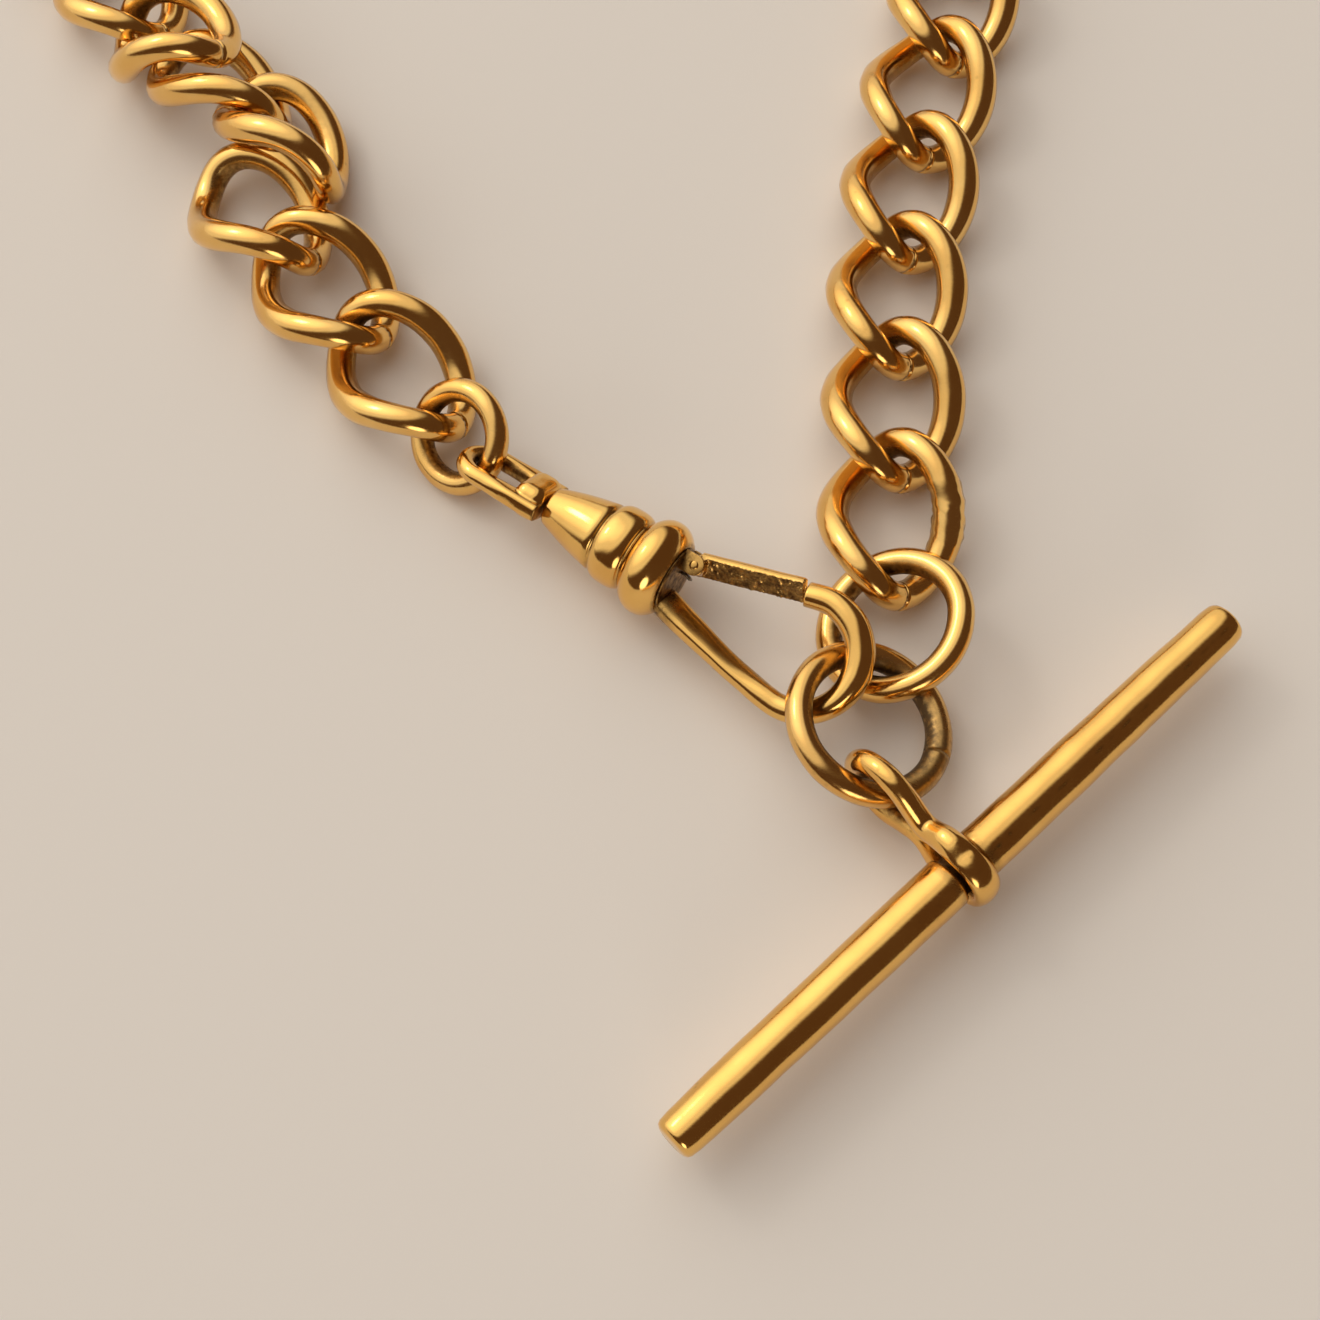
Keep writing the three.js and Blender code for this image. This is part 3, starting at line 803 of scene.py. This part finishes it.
CONE_SMALL = 1.175
CONE_LARGE = 2.05
CONE_LENGTH = 3.65
CONE_EDGE = 0.16
CONE_CROWN = 0.10
CONE_RINGS = 12
BAND_START = 3.95
BAND_END = 5.65
BAND_RADIUS = 2.375
BEAD_START = 5.95
BEAD_END = 8.35
BEAD_RADIUS = 2.875
GROOVE_RADIUS = 2.02
SWIVEL_DENT = (0.02, 1.8)
NECK_START = 8.47


def barrel_profile(start, end, radius, drop, fullness, steps):
    """A bulge on a turned piece, full in its middle and falling away to both ends."""
    bulge = []
    for step in range(steps + 1):
        share = -math.cos(math.pi * step / steps)
        bulge.append((radius - drop * abs(share) ** fullness,
                      (start + end) / 2 + (end - start) / 2 * share))
    return bulge


def swivel_profile():
    """A crowned cone, a narrow groove, a band, a second groove and a round bead."""
    profile = [(0.0, 0.0), (CONE_SMALL - 0.18, 0.0), (CONE_SMALL - 0.05, 0.04),
               (CONE_SMALL, CONE_EDGE)]
    for step in range(1, CONE_RINGS):
        share = step / CONE_RINGS
        growth = share + CONE_CROWN * math.sin(math.pi * share)
        profile.append((CONE_SMALL + (CONE_LARGE - CONE_SMALL) * growth,
                        CONE_EDGE + share * (CONE_LENGTH - 0.3)))
    profile += [(CONE_LARGE, CONE_LENGTH - 0.08), (CONE_LARGE - 0.08, CONE_LENGTH)]
    profile += [(GROOVE_RADIUS - 0.12, CONE_LENGTH + 0.08),
                (GROOVE_RADIUS - 0.12, BAND_START - 0.08)]
    profile += barrel_profile(BAND_START - 0.04, BAND_END + 0.04, BAND_RADIUS, 0.22, 3.2, 16)
    profile += [(GROOVE_RADIUS, BAND_END + 0.1), (GROOVE_RADIUS, BEAD_START - 0.1)]
    profile += barrel_profile(BEAD_START - 0.05, BEAD_END, BEAD_RADIUS, 0.78, 2.3, 26)
    profile += [(GROOVE_RADIUS - 0.1, BEAD_END), (0.0, BEAD_END)]
    return profile


def swivel_recess(corner):
    """Painted shade and tarnish in both grooves, and painted shade behind the bead, where the
    hook's seat meets it.
    """
    radius = math.hypot(corner.co.y, corner.co.z)
    grooves = ((CONE_LENGTH + BAND_START) / 2, (BAND_END + BEAD_START) / 2)
    groove = max(1 - soft_step(abs(corner.co.x - along), 0.12, 0.36) for along in grooves)
    end = soft_step(corner.co.x, BEAD_END - 0.15, BEAD_END - 0.01)
    return max(0.4 * groove * (1 - soft_step(radius, 2.0, 2.3)), 0.7 * end)


def add_swivel_body(finish):
    mesh = turned_bmesh(swivel_profile(), 112)
    dent(mesh, *SWIVEL_DENT, 3)
    mark_recess(mesh, swivel_recess)
    piece = finish_mesh("swivel_body_turned", mesh, swivel_place())
    dress(piece, "swivel_body", finish, "polished_gold", "swivel_body", "swivel_rivet")


BOW_CENTRE = (16.8, 0.1)
BOW_RADIUS = 3.2
GATE_PIVOT = (NECK_START + 0.75, 1.3)
GATE_TIP = (15.3, 3.05)
GATE_RADIUS = 0.80
GATE_SQUASH = 0.76
GATE_FLAT = Vector((0, -0.72, 0.69))
GATE_FLAT_AT = 0.12
GATE_ROUGHNESS = (0.06, 0.07)
GATE_VOXEL = 0.07
GATE_DENT = (0.02, 1.2)
KNUCKLE_RADIUS = 0.58
KNUCKLE_WIDTH = 1.14
PIN_RADIUS = 0.27
PIN_DOME_RADIUS = 0.16
PIN_DOME = 0.05
HOOK_WIRE = 0.74
HOOK_MIDDLE = 0.97
HOOK_ROOT_GROWTH = 0.24
HOOK_BOW_GROWTH = 0.16
HOOK_DENT = (0.025, 1.5)
ARM_FLAT = Vector((0, 0.8, 0.6))
ARM_FLAT_AT = 0.36
ARM_FLATTENING = 0.85
CHEEK_ROUNDING = 0.06
CHEEK_RADIUS = 0.6
CHEEK_SIDE = 0.68
CHEEK_THICKNESS = 0.22


def hook_path():
    corners = [(NECK_START - 0.1, -1.3, 0), (9.7, -1.68, 0), (11.8, -2.2, 0), (14.0, -2.68, 0)]
    for angle in range(-100, 108, 16):
        turn = math.radians(angle)
        corners.append((BOW_CENTRE[0] + BOW_RADIUS * math.cos(turn),
                        BOW_CENTRE[1] + BOW_RADIUS * math.sin(turn), 0))
    corners.append((15.42, 3.03, 0))
    return smooth_path(corners, 8)


def hook_bmesh():
    """The bent wire of the hook, its lower arm filed flat inside."""
    path = hook_path()
    radii = []
    for point in path:
        root = 1 - soft_step(point.x, 9.0, 14.0)
        bow = soft_step(point.x, 15.5, 19.0) * soft_step(point.y, -2.4, 0.5)
        radii.append(HOOK_MIDDLE + HOOK_ROOT_GROWTH * root + HOOK_BOW_GROWTH * bow)
    wire = wire_bmesh(path, HOOK_WIRE, False, radii, sides=9)
    for corner in wire.verts:
        centre = min(path, key=lambda point: (point - corner.co).length_squared)
        arm = 1 - soft_step(centre.x, 13.5, 16.5)
        spare = (corner.co - centre).dot(ARM_FLAT) - ARM_FLAT_AT
        corner.co -= ARM_FLAT * max(spare, 0) * arm * ARM_FLATTENING
    return wire


def seat_bmesh():
    """The stepped disc that closes the bead and carries the hook."""
    return turned_bmesh([
        (0.0, NECK_START - 0.1), (1.88, NECK_START - 0.1), (1.95, NECK_START - 0.04),
        (1.88, NECK_START + 0.02), (1.5, NECK_START + 0.06), (0.0, NECK_START + 0.06)], 72)


def cheek_bmesh(low, high):
    """A thin rounded ear beside the gate's knuckle, standing on the seat."""
    x, y = GATE_PIVOT
    outline = [(NECK_START - 0.05, y - CHEEK_RADIUS), (NECK_START - 0.05, y + CHEEK_RADIUS)]
    for angle in range(90, -91, -12):
        turn = math.radians(angle)
        outline.append((x + CHEEK_RADIUS * math.cos(turn), y + CHEEK_RADIUS * math.sin(turn)))
    mesh = bmesh.new()
    face = mesh.faces.new([mesh.verts.new((along, across, low)) for along, across in outline])
    grown = bmesh.ops.extrude_face_region(mesh, geom=[face])
    lifted = [part for part in grown["geom"] if isinstance(part, bmesh.types.BMVert)]
    bmesh.ops.translate(mesh, verts=lifted, vec=(0, 0, high - low))
    bmesh.ops.recalc_face_normals(mesh, faces=mesh.faces)
    round_edges(mesh, CHEEK_ROUNDING, 3)
    return mesh


# Painted shade over the seat behind the bead, and painted shade and tarnish at the hook's root and
# on the inner side of the bow.
def hook_recess(corner):
    place = corner.co
    near_root = 1 - soft_step(place.x, NECK_START + 0.3, NECK_START + 1.8)
    toward = Vector((15.0, 0.0, 0.0)) - place
    inward = corner.normal.dot(toward.normalized())
    seat = 1 - soft_step(place.x, NECK_START + 0.07, NECK_START + 0.2)
    return max(seat, 0.65 * near_root, soft_step(inward, 0.3, 1.0) * 0.55)


def add_hook(finish):
    outside = CHEEK_SIDE + CHEEK_THICKNESS
    mesh = join_bmesh(
        hook_bmesh(), seat_bmesh(), cheek_bmesh(CHEEK_SIDE, outside),
        cheek_bmesh(-outside, -CHEEK_SIDE))
    dent(mesh, *HOOK_DENT, 11)
    mark_recess(mesh, hook_recess)
    piece = finish_mesh("hook_bow", mesh, swivel_place())
    dress(piece, "swivel_body", finish, "polished_gold", "hook")


def gate_bmesh():
    """A half-round arm: round outside, flat and rough inside, with a knuckle at its pin."""
    length = GATE_TIP[0] - GATE_PIVOT[0]
    arm = bmesh.new()
    bmesh.ops.create_cone(
        arm, cap_ends=True, cap_tris=False, segments=40, radius1=GATE_RADIUS, radius2=GATE_RADIUS,
        depth=length, matrix=Matrix.Rotation(math.pi / 2, 4, "Y"))
    bmesh.ops.subdivide_edges(
        arm, cuts=22,
        edges=[edge for edge in arm.edges if abs(edge.verts[0].co.x - edge.verts[1].co.x) > 1])
    bmesh.ops.bisect_plane(
        arm, geom=arm.verts[:] + arm.edges[:] + arm.faces[:], plane_co=GATE_FLAT * GATE_FLAT_AT,
        plane_no=GATE_FLAT, clear_outer=True)
    bmesh.ops.holes_fill(arm, edges=[edge for edge in arm.edges if edge.is_boundary], sides=0)
    tilt = math.atan2(GATE_TIP[1] - GATE_PIVOT[1], length)
    centre = ((GATE_PIVOT[0] + GATE_TIP[0]) / 2, (GATE_PIVOT[1] + GATE_TIP[1]) / 2, 0)
    arm.transform(Matrix.Translation(centre) @ Matrix.Rotation(tilt, 4, "Z")
                  @ Matrix.Diagonal((1, 1, GATE_SQUASH, 1)))
    knuckle = bmesh.new()
    bmesh.ops.create_cone(
        knuckle, cap_ends=True, cap_tris=False, segments=40, radius1=KNUCKLE_RADIUS,
        radius2=KNUCKLE_RADIUS, depth=KNUCKLE_WIDTH, matrix=Matrix.Translation((*GATE_PIVOT, 0)))
    return join_bmesh(arm, knuckle)


def gate_recess(corner):
    """Painted shade and tarnish on the flat inside and at the free end."""
    inside = soft_step(corner.normal.dot(GATE_FLAT), 0.55, 0.9)
    end = soft_step(corner.co.x, GATE_TIP[0] - 0.25, GATE_TIP[0] - 0.05)
    return max(inside, end * 0.8)


def add_gate(finish):
    mesh = cast_together(gate_bmesh(), GATE_VOXEL, 3)
    dent(mesh, *GATE_DENT, 13)
    mesh.normal_update()
    for corner in mesh.verts:
        coarse, fine = noise.noise(corner.co * 2.6), noise.noise(corner.co * 7)
        lump = GATE_ROUGHNESS[0] * coarse + GATE_ROUGHNESS[1] * fine
        corner.co += corner.normal * gate_recess(corner) * lump
    mark_recess(mesh, gate_recess)
    piece = finish_mesh("gate_arm", mesh, swivel_place())
    dress(piece, "gate", finish, "polished_gold", "gate")


def add_gate_pin(finish):
    """The gate's pin, riveted to a low dome at each end."""
    half = CHEEK_SIDE + CHEEK_THICKNESS
    side = [(0.0, half + PIN_DOME), (PIN_DOME_RADIUS, half + 0.04), (PIN_RADIUS, half),
            (PIN_RADIUS, half - 0.1)]
    other = [(radius, -along) for radius, along in side]
    mesh = turned_bmesh(other + side[::-1], 32)
    upright = Matrix.Translation((*GATE_PIVOT, 0)) @ Matrix.Rotation(math.pi / 2, 4, "Y")
    mesh.transform(upright)
    mark_recess(mesh, lambda corner: 0.3)
    piece = finish_mesh("gate_pin_riveted", mesh, swivel_place())
    dress(piece, "swivel_body", finish, "polished_gold", "gate_pin")


BAIL_SPREAD = 1.4
BAIL_WIRE = 0.54
BAIL_BEND = -4.43
BAIL_SQUARE = 0.95
BAIL_VOXEL = 0.055
BAIL_DENT = (0.02, 1.2)
YOKE_HALF_HEIGHT = 1.08
YOKE_ROUNDING = 0.72
YOKE_HALF_WIDTH = 1.45
YOKE_START = -2.05
YOKE_END = -0.12


def bail_bmesh():
    """A stirrup: a round bend, its two ends squared off, and a rounded yoke block between them."""
    corners = [(YOKE_END, BAIL_SPREAD, 0), (BAIL_BEND + 1.0, BAIL_SPREAD, 0)]
    for angle in range(90, 271, 20):
        turn = math.radians(angle)
        corners.append((BAIL_BEND + BAIL_SPREAD * math.cos(turn), BAIL_SPREAD * math.sin(turn), 0))
    corners += [(BAIL_BEND + 1.0, -BAIL_SPREAD, 0), (YOKE_END, -BAIL_SPREAD, 0)]
    wire = wire_bmesh(smooth_path(corners, 12), BAIL_WIRE, False, sides=9)
    for corner in wire.verts:
        side = math.copysign(BAIL_SPREAD, corner.co.y)
        offset = Vector((0, corner.co.y - side, corner.co.z))
        fullness = (abs(offset.y) ** 4 + abs(offset.z) ** 4) ** 0.25
        square = offset * (BAIL_WIRE * BAIL_SQUARE / max(fullness, 0.01))
        if offset.length > 0.5 * BAIL_WIRE:
            straight = soft_step(corner.co.x, BAIL_BEND + 0.6, BAIL_BEND + 2.4)
            corner.co += (square - offset) * straight
    yoke = box_bmesh(
        (YOKE_START, -YOKE_HALF_WIDTH, -YOKE_HALF_HEIGHT),
        (YOKE_END, YOKE_HALF_WIDTH, YOKE_HALF_HEIGHT), YOKE_ROUNDING, 8)
    return join_bmesh(wire, yoke)


def bail_recess(corner):
    """Painted shade and tarnish inside the bend, and painted shade on the face that meets the
    cone.
    """
    inward = -corner.normal.dot(Vector((corner.co.x + 3.6, corner.co.y, 0)).normalized())
    loop = soft_step(inward, 0.2, 0.9) * (1 - soft_step(corner.co.x, -2.6, -1.9))
    return max(loop, 0.8 * soft_step(corner.co.x, -0.3, -0.14))


def add_bail(finish):
    mesh = cast_together(bail_bmesh(), BAIL_VOXEL, 3)
    dent(mesh, *BAIL_DENT, 17)
    mark_recess(mesh, bail_recess)
    piece = finish_mesh("swivel_bail_cast", mesh, bail_place())
    dress(piece, "swivel_bail", finish, "polished_gold", "swivel_bail")


def spring_finish():
    material, shader = new_material("spring_steel", (0.18, 0.14, 0.09), 1.0, 0.4)
    nodes, links = material.node_tree.nodes, material.node_tree.links
    where = nodes.new("ShaderNodeTexCoord").outputs["Object"]
    lines = add_noise(nodes, links, where, 3000, 3)
    links.new(add_range(nodes, links, lines.outputs["Fac"], 0.3, 0.7, 0.25, 0.5),
              shader.inputs["Roughness"])
    links.new(add_mix(nodes, links, lines.outputs["Fac"], STEEL_LIGHT, STEEL_DARK),
              shader.inputs["Base Color"])
    return material


SPRING_LOW = (NECK_START + 0.03, 0.42, -0.5)
SPRING_HIGH = (NECK_START + 0.7, 0.56, 0.1)
SPRING_BEND = 0.4
SPRING_SLOPE = 0.4


def add_spring():
    """A thin leaf fixed to the seat under the gate, its free end bent clear of the gate."""
    mesh = box_bmesh(SPRING_LOW, SPRING_HIGH, 0.04, 3)
    bmesh.ops.bisect_plane(
        mesh, geom=mesh.verts[:] + mesh.edges[:] + mesh.faces[:],
        plane_co=(NECK_START + SPRING_BEND, 0, 0), plane_no=(1, 0, 0))
    for corner in mesh.verts:
        corner.co.y -= SPRING_SLOPE * max(corner.co.x - NECK_START - SPRING_BEND, 0)
    piece = finish_mesh("gate_spring_leaf", mesh, swivel_place())
    dress(piece, "swivel_body", spring_finish(), "spring_steel", "gate_spring")


# ---------------------------------------------------------------- the whole chain

random.seed(7)
finishes = make_finishes()
add_camera()
add_studio()
add_floor()
for number, name in enumerate(LINKS):
    add_link(name, number, finishes["link"])
add_ring("end_ring", END_RING, finishes["ring"], "polished_gold", 2)
add_ring("t_bar_ring", T_BAR_RING, finishes["dull_ring"], "tarnished_gold", 4, dull_recess,
         RING_SEAM_ANGLE)
add_ring("small_ring", SMALL_RING, finishes["ring"], "polished_gold", 6)
add_bar(finishes["bar"])
add_eye(finishes["bar"])
add_swivel_body(finishes["swivel"])
add_hook(finishes["swivel"])
add_gate(finishes["rough"])
add_gate_pin(finishes["swivel"])
add_bail(finishes["swivel"])
add_spring()
